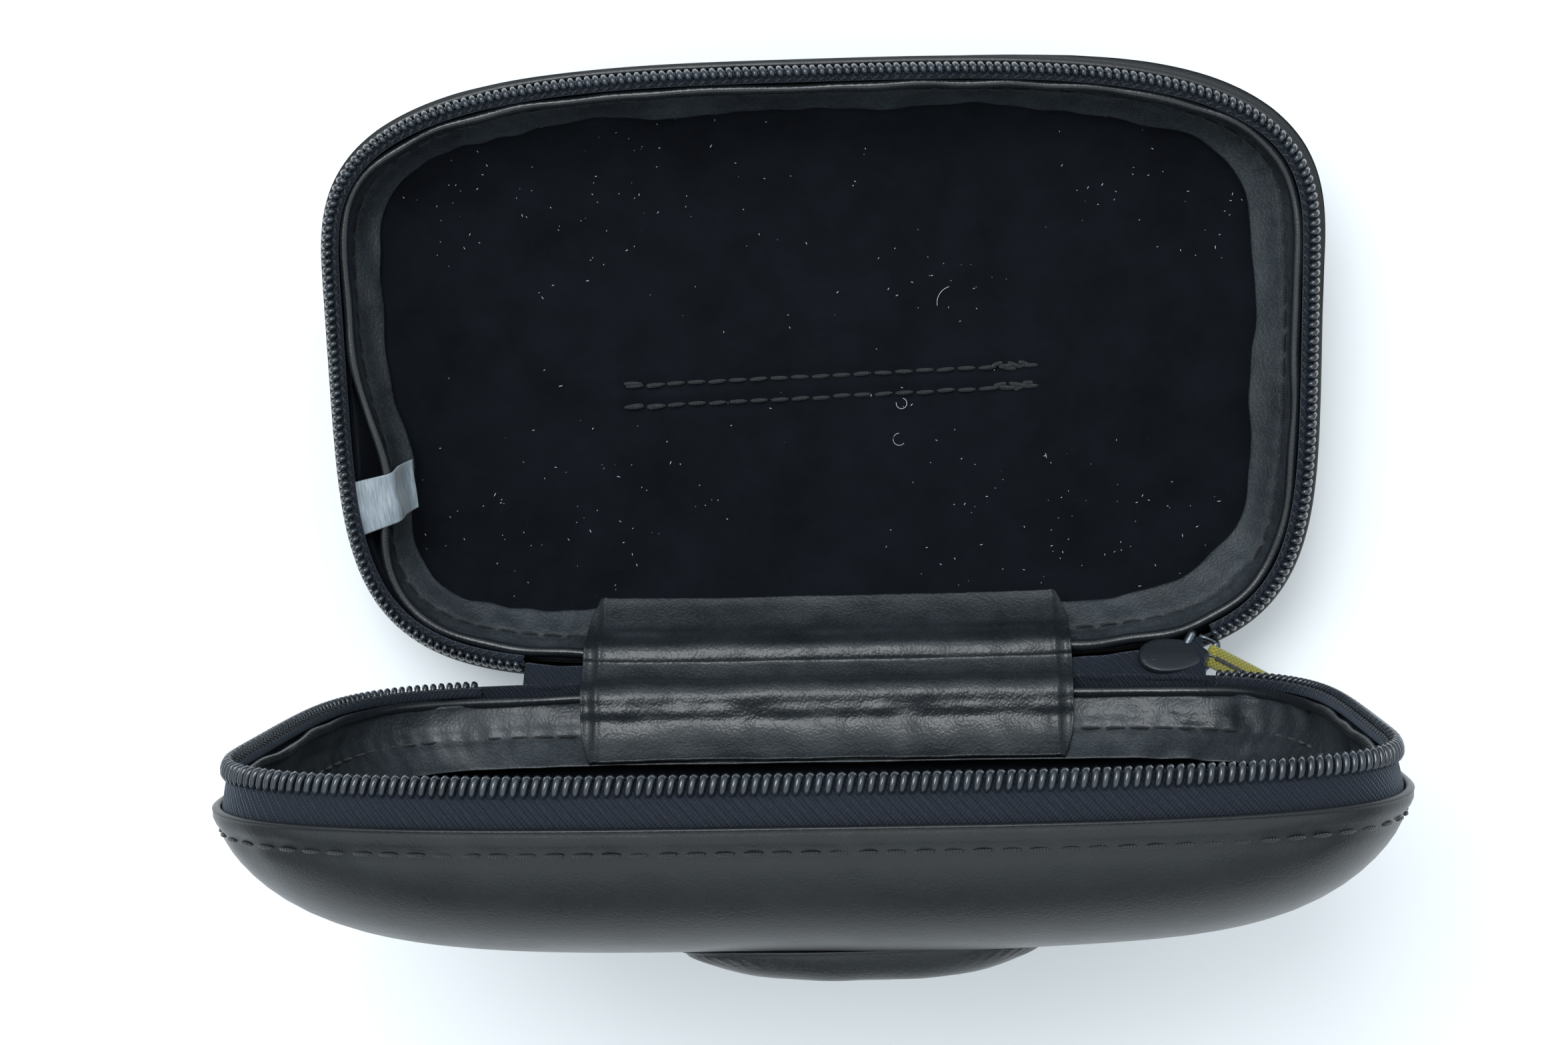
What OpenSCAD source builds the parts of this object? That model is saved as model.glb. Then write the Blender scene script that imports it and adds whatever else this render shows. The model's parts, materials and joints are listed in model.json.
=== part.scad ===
// Zip-round clamshell case for spectacles, lying on its back half with the front half standing open.
// Each half is a moulded dome of five layers: leather cover, stiff shell, velvet lining, inner facing
// and rolled welt.  Half-frame: hinge line at the origin, +Y to the front edge, zip plane at z = 0,
// dome below it.  The back half is that frame tilted; the front half is its mirror image, opened.

/* [Zip outline] */
// Width of the loop of zip teeth
loop_w = 174; // [165:1:182]
// Depth of the loop from the hinge side to the front edge
loop_h = 105.4; // [100:0.2:112]
// Roundness of the two front corners, where 2 is an ellipse
front_n = 3.28; // [2.8:0.02:4]
// Roundness of the two hinge corners
hinge_n = 5.45; // [4.5:0.05:6.5]
// Share of the depth at which the loop is widest
wide_at = 0.66; // [0.6:0.01:0.7]
// Extra width towards the front edge, as a fraction
taper = 0.029; // [0:0.001:0.04]

/* [Dome] */
// Depth of each dome below the zip plane
dome_d = 31; // [28:0.5:34]
// Depth of the sewn flange below the zip plane
flange_d = 7.5; // [6.5:0.1:8.5]
// How far the flange stands outside the teeth
flange_out = 2.7; // [2.2:0.1:3.2]
// Squareness of the dome at the front and the ends
dome_p = 5.2; // [4:0.1:7]
// Squareness of the dome on the hinge side
hinge_p = 9; // [8:0.5:14]
// Roundness of the dome's shoulder
dome_q = 1.6; // [1.4:0.05:1.9]

/* [Pose] */
// Tilt of the back half as it rests on its pad
tilt = 7; // [5:0.5:9]
// Opening angle between the halves
opening = 88; // [60:1:120]

/* [Zip slider] */
// Place of the slider along the hinge side
slider_x = 61; // [60:0.5:62]
// Length of the slider
slider_l = 12.5; // [11:0.5:13]
// Width of the slider's plates
slider_w = 7.4; // [6.5:0.1:7.6]
// Length of the strap on the slider
strap_l = 19; // [14:1:22]

/* [Hidden] */

steps = 44;                 // points round the outline
axis_gap = 1.2;             // from the hinge line to the teeth
rim_lean = 1.47;            // how far the zip tape leans in above the flange
half_w = loop_w / 2;
front_b = loop_h * (1 - wide_at);
hinge_b = loop_h * wide_at;
dome_cy = axis_gap + loop_h / 2;

// layer boundaries, measured inward from the outer face of the cover
cover_in = 1.2;
tape_k = [1.3, 1.65];
shell_k = [1.85, 2.9];
lining_k = [3.05, 4];
facing_k = [4.15, 4.8];
welt_k = 4.15;
welt_r = 0.9;
welt_d = 3.45;
teeth_k = 1.6;
teeth_d = 1.45;
teeth_r = 1.15;
tape_bottom = 9.6;
layer_top = 4.5;            // upper edge of the lining and the facing
tape_top = 2.65;
tape_top_low = 5.5;         // where the tape makes room for the slider

// levels of the rings down the dome, as shares of its depth
levels = [0.1, 0.25, 0.42, 0.6, 0.77, 0.9, 0.97, 0.997];

pad_w = 14;
pad_crown = 3.4;
pad_edge = 0.5;
pad_flat = 0.4;             // share of the pad that is flat
pad_base = dome_d + 0.05;
pad_n = 2.4;
// place of each pad's middle, its length, and the height of its sewn rows above the lining
rear_pad_at = [0, 50, 82, 0.7];
front_pad_at = [8, 84, 54, 1.85];
stitch_l = 3.2;
stitch_w = 0.55;
stitch_gap = 4.4;            // from stitch to stitch
rim_row_d = 11;
pad_rows = 4;
patch_w = 88;
spine_w = 94;
tab_steps = [24, 23];        // steps of the outline that the ribbon tab lies between
tab_share = 0.96;
tab_profile = [[3, 1.4], [5, 1.5], [5.9, 2.6], [6.05, 4], [5.9, 6], [5.9, 7.4], [5.25, 7.4], [5.25, 5.2],
               [5.45, 3.6], [5.3, 2.7], [4.35, 2.1], [3, 2.1]];
slide_end_x = 76;           // the teeth stop here, beyond the slider's reach

function spow(v, e) = sign(v) * pow(abs(v), e);
function unit(v) = v / norm(v);
function reversed(v) = [for (i = [len(v) - 1 : -1 : 0]) v[i]];

// the teeth loop at angle t, moved out by off
function loop_pt(t, off = 0) =
    let (c = cos(t), s = sin(t), n = s > 0 ? front_n : hinge_n, b = s > 0 ? front_b : hinge_b,
         x = half_w * spow(c, 2 / n), y = b * spow(s, 2 / n),
         nrm = unit([spow(c, 2 * (n - 1) / n) / half_w, spow(s, 2 * (n - 1) / n) / b]))
    [x * (1 + taper * y / loop_h) + off * nrm.x, axis_gap + hinge_b + y + off * nrm.y];

// angle of the point of the hinge side at x
function t_at_x(x) = 270 + asin(spow(x / (half_w * (1 - taper * wide_at)), hinge_n / 2));

// squareness of the dome in the direction t
function squareness(t) = dome_p + (hinge_p - dome_p) * pow(max(0, -sin(t)), 2);

// a point of the layer k at depth d: the dome below the flange, the leaning rim above it
function at(t, k, d) =
    let (lean = d < flange_d ? rim_lean * (1 - d / flange_d) : 0,
         w = max(0, (d - flange_d) / (dome_d - k - flange_d)),
         r = pow(max(0, 1 - pow(w, dome_q)), 1 / squareness(t)),
         p = loop_pt(t, flange_out - k - lean))
    [p.x * r, dome_cy + (p.y - dome_cy) * r, -d];

function ring(k, d) = [for (i = [0 : steps - 1]) at(360 * i / steps, k, d)];
function level_d(k, w) = flange_d + w * (dome_d - k - flange_d);
function rings_below(k, top) = [for (w = levels) let (d = level_d(k, w)) if (d > top) ring(k, d)];

// closed solid over a list of rings of equal count, capped at both ends
module skin(rings) {
    n = len(rings[0]);
    m = len(rings);
    pts = [for (r = rings) for (p = r) p];
    walls = [for (j = [0 : m - 2]) for (i = [0 : n - 1])
        let (a = j * n + i, b = j * n + (i + 1) % n) each [[a, b, b + n], [a, b + n, a + n]]];
    polyhedron(pts, concat(walls, [[for (i = [n - 1 : -1 : 0]) i], [for (i = [0 : n - 1]) (m - 1) * n + i]]));
}

// solid swept through a list of sections of equal, even count, joined end to end when closed;
// each end is capped by four-sided faces between the points that lie opposite each other
module sweep(sections, closed) {
    n = len(sections[0]);
    m = len(sections);
    pts = [for (s = sections) for (p = s) p];
    walls = [for (j = [0 : closed ? m - 1 : m - 2]) for (i = [0 : n - 1])
        let (next_j = (j + 1) % m, next_i = (i + 1) % n, a = j * n + i, b = j * n + next_i,
             c = next_j * n + i, e = next_j * n + next_i)
        each [[a, c, e], [a, e, b]]];
    last = (m - 1) * n;
    caps = [for (i = [0 : closed ? -1 : n / 2 - 2]) each [[i, i + 1, n - 2 - i, n - 1 - i],
        [last + n - 1 - i, last + n - 2 - i, last + i + 1, last + i]]];
    polyhedron(pts, concat(walls, caps));
}

// layer of the dome from k0 inward to k1, or to k1_low below the zip tape, open at its top edge
module dome_layer(k0, k1, top, k1_low) {
    outer = reversed(rings_below(k0, top));
    inner = rings_below(k1_low, k1_low == k1 ? top : tape_bottom + 0.5);
    rim = top < flange_d ? [ring(k0, flange_d), ring(k0, top), ring(k1, top), ring(k1, flange_d)]
                         : [ring(k0, top), ring(k1, top)];
    step = k1_low == k1 ? [] : [ring(k1, tape_bottom + 0.1), ring(k1_low, tape_bottom + 0.4)];
    skin(concat(outer, rim, step, inner));
}

function section(t, profile) = [for (q = profile) at(t, q[0], q[1])];
module hoop(profile) sweep([for (i = [0 : steps - 1]) section(360 * i / steps, profile)], true);

// the angles from t0 to t1 that the rings have too, with both ends
function ring_angles(t0, t1) = [for (i = [-steps : 2 * steps]) let (t = 360 * i / steps)
    if (t > t0 + 1 && t < t1 - 1) t];
function angles(t0, t1) = concat([t0], ring_angles(t0, t1), [t1]);

module arc_strip(t0, t1, profile) sweep([for (t = angles(t0, t1)) section(t, profile)], false);

module hinge_strip(width, profile) {
    cuts = 8;
    sweep([for (i = [0 : cuts]) section(t_at_x(width * (i / cuts - 0.5)), profile)], false);
}

module half_cover() dome_layer(0, cover_in, flange_d, shell_k[0] - 0.1);
module half_shell() dome_layer(shell_k[0], shell_k[1], tape_bottom + 0.3, shell_k[1]);
module half_lining() dome_layer(lining_k[0], lining_k[1], layer_top, lining_k[1]);

module half_facing() {
    down = [for (w = [0, levels[0], levels[1], levels[2]]) level_d(lining_k[1], w)];
    hoop(concat([[facing_k[0], layer_top], [facing_k[1], layer_top]], [for (d = down) [facing_k[1], d]],
                [for (d = reversed(down)) [facing_k[0], d]]));
}

// six-sided section of radius r about the layer k at depth d
function round_profile(k, d, r) = [for (a = [0 : 60 : 300]) [k + r * cos(a), d + r * sin(a)]];

module half_welt() hoop(round_profile(welt_k, welt_d, welt_r));

module half_tape() {
    t0 = t_at_x(patch_w / 2 - 2) - 360;
    t1 = t_at_x(2 - patch_w / 2);
    slide_t = t_at_x(slide_end_x) - 360;
    sweep([for (t = angles(t0, t1)) let (top = t < slide_t + 3 ? tape_top_low : tape_top)
        section(t, [[tape_k[0], top], [tape_k[1], top], [tape_k[1], flange_d], [tape_k[1], tape_bottom],
                    [tape_k[0], tape_bottom], [tape_k[0], flange_d]])], false);
}

// envelope of the coiled teeth, from the left end round the front to the slider
module half_teeth(left_x) arc_strip(t_at_x(slide_end_x) - 360, t_at_x(left_x),
                                    round_profile(teeth_k, teeth_d, teeth_r));

function pad_ring(place, r, d) = [for (i = [0 : 31]) let (a = i * 360 / 32)
    [place[0] + place[2] / 2 * r * spow(cos(a), 2 / pad_n),
     place[1] + pad_w / 2 * r * spow(sin(a), 2 / pad_n), -d]];

function pad_height(r) = pad_edge + (pad_crown - pad_edge) * (1 - pow((r - pad_flat) / (1 - pad_flat), 2));

// one pad: flat crown, rounded flanks, low edge and flat inner face
module half_pad(place) {
    flank_r = [for (i = [0 : 4]) pad_flat + (1 - pad_flat) * i / 4.2];
    flanks = [for (r = flank_r) pad_ring(place, r, pad_base + pad_height(r))];
    skin(concat(flanks, [pad_ring(place, 1, pad_base + pad_edge), pad_ring(place, 1, pad_base)]));
}

module half_rim_stitches() {
    count = floor(runs[360] / stitch_gap);
    for (i = [0 : count - 1]) {
        p = at(arc_t((i + 0.3) / count), -0.3, rim_row_d);
        q = at(arc_t((i + 0.7) / count), -0.3, rim_row_d);
        translate((p + q) / 2) rotate([0, 0, atan2(q.y - p.y, q.x - p.x)])
            cube([stitch_l, 0.4, stitch_w], center = true);
    }
}

// angle spread so that the flat sides of the outline are passed in even steps
function even_t(v) = let (side = round(v / 90), q = v - 90 * side, n = v > 0 && v < 180 ? front_n : hinge_n)
    90 * side + 45 * spow(q / 45, n / 2);

// angle at the share f of the way round, spaced evenly along the outline
samples = [for (i = [0 : 360]) at(even_t(i), 0, rim_row_d)];
runs = [for (i = 0, s = 0; i <= 360; s = i < 360 ? s + norm(samples[i + 1] - samples[i]) : s, i = i + 1) s];
function arc_t(f) = let (s = f * runs[360], i = max([for (j = [0 : 359]) if (runs[j] <= s) j]))
    even_t(i + (s - runs[i]) / (runs[i + 1] - runs[i]));

module half_pad_stitches(place) {
    count = floor(place[2] / stitch_gap);
    depth = dome_d - lining_k[1] - place[3];
    for (row = [-0.5, 0.5]) for (i = [0 : count - 1])
        translate([place[0] + (i - (count - 1) / 2) * stitch_gap, place[1] + row * pad_rows, -depth])
            cube([stitch_l, 0.6, 0.4], center = true);
}

patch_profile = [[1.15, 0.4], [3.6, 0.9], [5, 1.5], [5.9, 2.6], [6.05, 4], [5.9, 6], [5.9, 9.4], [5.9, 14],
                 [5.2, 14], [5.2, 9.4], [5.2, 5.2], [5.4, 3.6], [5.25, 2.7], [4.3, 2.1], [3.4, 1.65],
                 [1.15, 1.2]];
module half_hinge_patch() hinge_strip(patch_w, patch_profile);
module half_spine() hinge_strip(spine_w, [[0.1, 0.3], [1, 0.3], [1, flange_d - 0.1], [0.1, flange_d - 0.1]]);

// a flat ribbon tab over the welt, along one side of the outline
module tab() {
    ends = [for (i = tab_steps) 360 * i / steps];
    run = (at(ends[0], 4, 4) - at(ends[1], 4, 4)) * tab_share;
    middle = (section(ends[0], tab_profile) + section(ends[1], tab_profile)) / 2;
    sweep([for (f = [-0.5, 0.5]) [for (p = middle) p + f * run]], false);
}

// the origin is the middle of the back pad's flat crown, on which the case rests
pad_z = pad_base + pad_crown;
foot_y = rear_pad_at[1];
foot = [0, foot_y * cos(tilt) + pad_z * sin(tilt), foot_y * sin(tilt) - pad_z * cos(tilt)];
module placed() translate(-foot) children();
module rear_half() placed() rotate([tilt, 0, 0]) children();
module front_half() placed() rotate([tilt + opening, 0, 0]) mirror([0, 0, 1]) children();

// the slider stands across the two rows of teeth, half way between the halves
slider_turn = tilt + opening / 2 - 90;
plate_t = 1;
inner_plate = 1.8;
outer_plate = -2.4;

module plate(z) {
    nose = slider_w * 0.3;
    translate([slider_x, 0, z]) linear_extrude(plate_t)
        polygon([[-slider_l / 2, -nose], [-slider_l / 2, nose], [-slider_l / 6, slider_w / 2],
                 [slider_l / 3, slider_w / 2], [slider_l / 2, slider_w / 5], [slider_l / 2, -slider_w / 5],
                 [slider_l / 3, -slider_w / 2], [-slider_l / 6, -slider_w / 2]]);
}

pull_at = [slider_x + slider_l / 2 + 1.35, 1.9, -0.6];   // axis of the slider's lug
pull_yaw = -28;                                         // heading of the strap, seen from above
pull_drop = 35;                                         // how far it hangs below the level
pin_r = 0.7;
eye_r = 0.75;
eye_out = 1.25;
lug_l = 3.2;                                            // from the axis back to the slider
lug_w = 5;

module slider_body() {
    color([0.16, 0.17, 0.19]) placed() union() {
        rotate([slider_turn, 0, 0]) {
            plate(inner_plate);
            plate(outer_plate);
            translate([slider_x - slider_l / 2 + 1, -0.8, outer_plate + 0.1])
                cube([3, 1.6, inner_plate - outer_plate + 0.5]);
        }
        translate(pull_at) rotate([0, 0, pull_yaw]) {
            rotate([90, 0, 0]) cylinder(r = pin_r, h = lug_w, center = true, $fn = 24);
            translate([-lug_l, -lug_w / 2, -0.8]) cube([1.4, lug_w, 1.6]);
            for (side = [-1, 1]) translate([(1 - lug_l) / 2, side * (lug_w / 2 - 0.4), 0])
                cube([lug_l + 0.6, 0.8, 1.6], center = true);
        }
    }
}

module pull_frame() placed() translate(pull_at) rotate([0, pull_drop, pull_yaw]) children();

module pull_link() color([0.2, 0.2, 0.22]) pull_frame() difference() {
    union() {
        rotate([90, 0, 0]) cylinder(r = eye_out, h = 2.6, center = true, $fn = 32);
        translate([0.4, -1.3, -0.5]) cube([4.4, 2.6, 1]);
    }
    rotate([90, 0, 0]) cylinder(r = eye_r, h = 4, center = true, $fn = 32);
}

strap_x = 3.4;
strap_w = 4;
strap_t = 1.1;
module pull_strap() color([0.58, 0.6, 0.32]) pull_frame() difference() {
    translate([strap_x, -strap_w / 2, -0.5 - strap_t]) cube([strap_l - strap_x, strap_w, strap_t + 1.6]);
    translate([strap_x - 1, -strap_w / 2 - 1, -0.52]) cube([2.42, strap_w + 2, 1.04]);
    translate([strap_x + 1.41, -1.35, -0.52]) cube([0.02, 2.7, 1.04]);
}
module pull_core() color([0.05, 0.05, 0.05]) pull_frame()
    translate([strap_x + 2, -0.4, 1.12]) cube([strap_l - strap_x - 4, 0.8, 0.3]);

module leather() color([0.09, 0.1, 0.11]) children();
module velvet() color([0.04, 0.045, 0.06]) children();
module thread() color([0.02, 0.02, 0.025]) children();

leather() rear_half() half_cover();  // rear_cover
color([0.3, 0.3, 0.3]) rear_half() half_shell();  // rear_shell
velvet() rear_half() half_lining();  // rear_lining
leather() rear_half() half_facing();  // rear_facing
leather() rear_half() half_welt();  // rear_welt
color([0.05, 0.06, 0.09]) rear_half() half_tape();  // rear_tape
color([0.1, 0.11, 0.13]) rear_half() half_teeth(-55);  // rear_teeth
leather() rear_half() half_pad(rear_pad_at);  // rear_pad
thread() rear_half() half_rim_stitches();  // rear_rim_stitches
thread() rear_half() half_pad_stitches(rear_pad_at);  // rear_pad_stitches
leather() rear_half() half_hinge_patch();  // rear_hinge_patch
leather() rear_half() half_spine();  // rear_spine
color([0.5, 0.55, 0.58]) rear_half() tab();  // side_tab
leather() front_half() half_cover();  // front_cover
color([0.3, 0.3, 0.3]) front_half() half_shell();  // front_shell
velvet() front_half() half_lining();  // front_lining
leather() front_half() half_facing();  // front_facing
leather() front_half() half_welt();  // front_welt
color([0.05, 0.06, 0.09]) front_half() half_tape();  // front_tape
color([0.1, 0.11, 0.13]) front_half() half_teeth(-62);  // front_teeth
leather() front_half() half_pad(front_pad_at);  // front_pad
thread() front_half() half_rim_stitches();  // front_rim_stitches
thread() front_half() half_pad_stitches(front_pad_at);  // front_pad_stitches
leather() front_half() half_hinge_patch();  // front_hinge_patch
leather() front_half() half_spine();  // front_spine
slider_body();
pull_link();
pull_strap();
pull_core();
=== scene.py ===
"""Zip-round clamshell case for spectacles: the looks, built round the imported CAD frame.

Each half has its own frame in millimetres: hinge line at the origin, +Y to the front edge, zip plane at
z = 0 and the dome below it. place() turns that into the row frame in metres.
"""
import json
import math

import bmesh
import bpy
import numpy as np
from mathutils import Matrix, Vector


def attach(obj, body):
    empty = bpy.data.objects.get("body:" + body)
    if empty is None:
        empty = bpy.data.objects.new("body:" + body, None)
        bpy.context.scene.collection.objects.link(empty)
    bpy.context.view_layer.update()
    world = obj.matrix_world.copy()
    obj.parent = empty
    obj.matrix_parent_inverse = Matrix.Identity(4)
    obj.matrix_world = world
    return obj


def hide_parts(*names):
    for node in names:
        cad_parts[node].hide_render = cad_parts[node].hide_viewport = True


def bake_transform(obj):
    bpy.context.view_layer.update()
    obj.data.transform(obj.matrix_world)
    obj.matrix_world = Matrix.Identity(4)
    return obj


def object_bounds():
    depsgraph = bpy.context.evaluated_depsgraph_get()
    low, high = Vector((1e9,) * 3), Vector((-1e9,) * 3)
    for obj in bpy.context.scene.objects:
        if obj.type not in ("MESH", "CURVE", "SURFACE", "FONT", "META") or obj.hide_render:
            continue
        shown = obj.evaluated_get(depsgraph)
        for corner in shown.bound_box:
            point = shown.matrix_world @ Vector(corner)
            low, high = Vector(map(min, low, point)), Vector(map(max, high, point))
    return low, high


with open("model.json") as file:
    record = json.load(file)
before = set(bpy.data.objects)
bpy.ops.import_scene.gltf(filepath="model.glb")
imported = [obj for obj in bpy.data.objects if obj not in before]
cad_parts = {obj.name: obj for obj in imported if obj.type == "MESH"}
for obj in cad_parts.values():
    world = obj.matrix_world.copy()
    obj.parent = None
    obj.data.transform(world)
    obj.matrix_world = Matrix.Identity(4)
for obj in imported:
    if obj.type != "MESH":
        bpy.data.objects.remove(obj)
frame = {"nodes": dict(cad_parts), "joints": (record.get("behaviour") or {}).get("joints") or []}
cad_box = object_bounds()
MM = 0.001

# ---------------------------------------------------------------- driving sizes, as in the CAD model
LOOP_W, LOOP_H = 174, 105.4
FRONT_N, HINGE_N = 3.28, 5.45
WIDE_AT, TAPER = 0.66, 0.029
DOME_D, FLANGE_D, FLANGE_OUT = 31, 7.5, 2.7
DOME_P, HINGE_P, DOME_Q = 5.2, 9, 1.6
AXIS_GAP, RIM_LEAN = 1.2, 1.47
TILT, OPENING = 7, 88
HALF_W = LOOP_W / 2
FRONT_B, HINGE_B = LOOP_H * (1 - WIDE_AT), LOOP_H * WIDE_AT
DOME_CY = AXIS_GAP + LOOP_H / 2
COVER_IN, LINING_K = 1.2, (3.05, 4.0)
WELT_K, WELT_D, WELT_R = 4.15, 3.45, 0.9
LAYER_TOP = 4.5
PAD_W, PAD_CROWN, PAD_EDGE = 14, 3.4, 0.5
PAD_AT = {"rear": (0, 50, 82), "front": (8, 84, 54)}     # middle x, middle y and length of each outer pad
PATCH_W, SPINE_W = 88, 94
SLIDER_X, SLIDER_L, SLIDER_W = 61, 12.5, 7.4
STRAP_L, STRAP_W = 19, 4
STITCH_GAP, RIM_ROW_D = 4.4, 11

hinge_joint = next(j for j in frame["joints"] if j["name"] == "lid_hinge")
HINGE = np.array(hinge_joint["pos_m"])
swing_joint = next(j for j in frame["joints"] if j["name"] == "puller_swing")
PULL_AT = np.array(swing_joint["pos_m"])
PULL_YAW, PULL_DROP = -28, 35
SLIDER_TURN = TILT + OPENING / 2 - 90

# name, CAD body, turn about the hinge line, side of the zip plane on which the dome lies
REAR = ("rear", "rear_half", TILT, 1)
FRONT = ("front", "front_half", TILT + OPENING, -1)


# ---------------------------------------------------------------- shape functions
def spow(v, e):
    return np.sign(v) * np.abs(v) ** e


def loop_pt(t, off):
    """The loop of teeth at the angles t in degrees, moved out by off."""
    c, s = np.cos(np.radians(t)), np.sin(np.radians(t))
    n = np.where(s > 0, FRONT_N, HINGE_N)
    b = np.where(s > 0, FRONT_B, HINGE_B)
    x, y = HALF_W * spow(c, 2 / n), b * spow(s, 2 / n)
    nx, ny = spow(c, 2 * (n - 1) / n) / HALF_W, spow(s, 2 * (n - 1) / n) / b
    size = np.hypot(nx, ny)
    return x * (1 + TAPER * y / LOOP_H) + off * nx / size, AXIS_GAP + HINGE_B + y + off * ny / size


def squareness(t):
    return DOME_P + (HINGE_P - DOME_P) * np.maximum(0, -np.sin(np.radians(t))) ** 2


def at(t, k, d, r=None):
    """Points of the layer k inward from the cover's face at depth d; with r given, d follows from it."""
    t, k, d = np.broadcast_arrays(np.asarray(t, float), k, d)
    floor_d = DOME_D - k - FLANGE_D
    if r is None:
        w = np.maximum(0, (d - FLANGE_D) / floor_d)
        r = np.maximum(0, 1 - w ** DOME_Q) ** (1 / squareness(t))
    else:
        d = FLANGE_D + np.maximum(0, 1 - r ** squareness(t)) ** (1 / DOME_Q) * floor_d
    lean = np.where(d < FLANGE_D, RIM_LEAN * (1 - d / FLANGE_D), 0)
    x, y = loop_pt(t, FLANGE_OUT - k - lean)
    return np.stack([x * r, DOME_CY + (y - DOME_CY) * r, -d], -1)


def even_t(v):
    """Angle spread so that the flat sides of the outline are passed in even steps."""
    side = np.round(v / 90)
    q = v - 90 * side
    n = np.where((v % 360 > 0) & (v % 360 < 180), FRONT_N, HINGE_N)
    return 90 * side + 45 * spow(q / 45, n / 2)


WALK_V = np.linspace(-360, 720, 21601)
WALK_T = even_t(WALK_V)
WALK_P = np.stack(loop_pt(WALK_T, 0), -1)
WALK_S = np.concatenate([[0], np.cumsum(np.linalg.norm(np.diff(WALK_P, axis=0), axis=1))])


def length_at(t):
    return np.interp(t, WALK_T, WALK_S)


def even_angles(t0, t1, count, closed=False):
    """Angles that are evenly spaced along the outline from t0 to t1, and the length walked."""
    s = np.linspace(length_at(t0), length_at(t1), count + 1 if closed else count)
    t = even_t(np.interp(s, WALK_S, WALK_V))
    return (t[:-1] if closed else t), s - s[0]


def t_at_x(x):
    """Angle of the point of the hinge side at x."""
    share = x / (HALF_W * (1 - TAPER * WIDE_AT))
    return 270 + np.degrees(np.arcsin(spow(share, HINGE_N / 2)))


def turn_x(p, degrees):
    a = math.radians(degrees)
    y = p[..., 1] * math.cos(a) - p[..., 2] * math.sin(a)
    z = p[..., 1] * math.sin(a) + p[..., 2] * math.cos(a)
    return np.stack([p[..., 0], y, z], -1)


def place(half, p):
    """Half-frame millimetres to row-frame metres."""
    return HINGE + MM * turn_x(p * np.array([1, 1, half[3]]), half[2])


def ripple(p, size, seed, waves=16):
    """Smooth, seeded noise of about unit height, with lumps of about size mm."""
    rng = np.random.default_rng(seed)
    directions = rng.normal(size=(waves, 3))
    directions /= np.linalg.norm(directions, axis=1)[:, None]
    turns = 2 * np.pi / (size * rng.uniform(1.2, 3, waves))
    phases = rng.uniform(0, 2 * np.pi, waves)
    total = sum(np.sin(p @ directions[i] * turns[i] + phases[i]) for i in range(waves))
    return total / math.sqrt(waves / 2)


def hump(p, x, y, radius):
    """Round bump of unit height over the point x, y of a half."""
    return np.exp(-((p[..., 0] - x) ** 2 + (p[..., 1] - y) ** 2) / (2 * radius ** 2))


def side_weights(t):
    """How much an angle belongs to the right, front, left and hinge sides; they add up to one."""
    c, s = np.cos(np.radians(t)), np.sin(np.radians(t))
    return np.maximum(c, 0) ** 2, np.maximum(s, 0) ** 2, np.maximum(-c, 0) ** 2, np.maximum(-s, 0) ** 2


# ---------------------------------------------------------------- mesh helpers
def mesh_object(name, points, faces, uvs=None):
    mesh = bpy.data.meshes.new(name)
    mesh.from_pydata(points.reshape(-1, 3).tolist(), [], faces)
    if uvs is not None:
        layer = mesh.uv_layers.new(name="UVMap")
        layer.data.foreach_set("uv", np.asarray(uvs, np.float32).ravel())
    bm = bmesh.new()
    bm.from_mesh(mesh)
    bmesh.ops.remove_doubles(bm, verts=bm.verts, dist=2e-7)
    bmesh.ops.recalc_face_normals(bm, faces=bm.faces)
    bm.to_mesh(mesh)
    bm.free()
    mesh.polygons.foreach_set("use_smooth", [True] * len(mesh.polygons))
    obj = bpy.data.objects.new(name, mesh)
    bpy.context.scene.collection.objects.link(obj)
    return obj


def grid_object(name, points, u, v, loop_u=False, loop_v=False, caps=False):
    """A skin over a grid of points in metres; u and v are lengths in mm for the UV map."""
    nu, nv = points.shape[:2]
    rows, columns = nu if loop_u else nu - 1, nv if loop_v else nv - 1
    i, j = np.meshgrid(np.arange(rows), np.arange(columns), indexing="ij")
    i2, j2 = (i + 1) % nu, (j + 1) % nv
    quads = np.stack([i * nv + j, i2 * nv + j, i2 * nv + j2, i * nv + j2], -1).reshape(-1, 4)
    u, v = np.asarray(u, float) * MM, np.asarray(v, float) * MM
    uvs = np.stack([np.stack([u[i], v[j]], -1), np.stack([u[i + 1], v[j]], -1),
                    np.stack([u[i + 1], v[j + 1]], -1), np.stack([u[i], v[j + 1]], -1)], -2).reshape(-1, 2)
    faces = quads.tolist()
    if caps:
        faces += [list(range(nv)), list(range((nu - 1) * nv, nu * nv))]
        uvs = np.concatenate([uvs, np.zeros((2 * nv, 2))])
    return mesh_object(name, points, faces, uvs)


def run_lengths(points, closed=False):
    """Length along a row of points, with one more entry when it is closed."""
    if closed:
        points = np.concatenate([points, points[:1]])
    return np.concatenate([[0], np.cumsum(np.linalg.norm(np.diff(points, axis=0), axis=1))])


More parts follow.
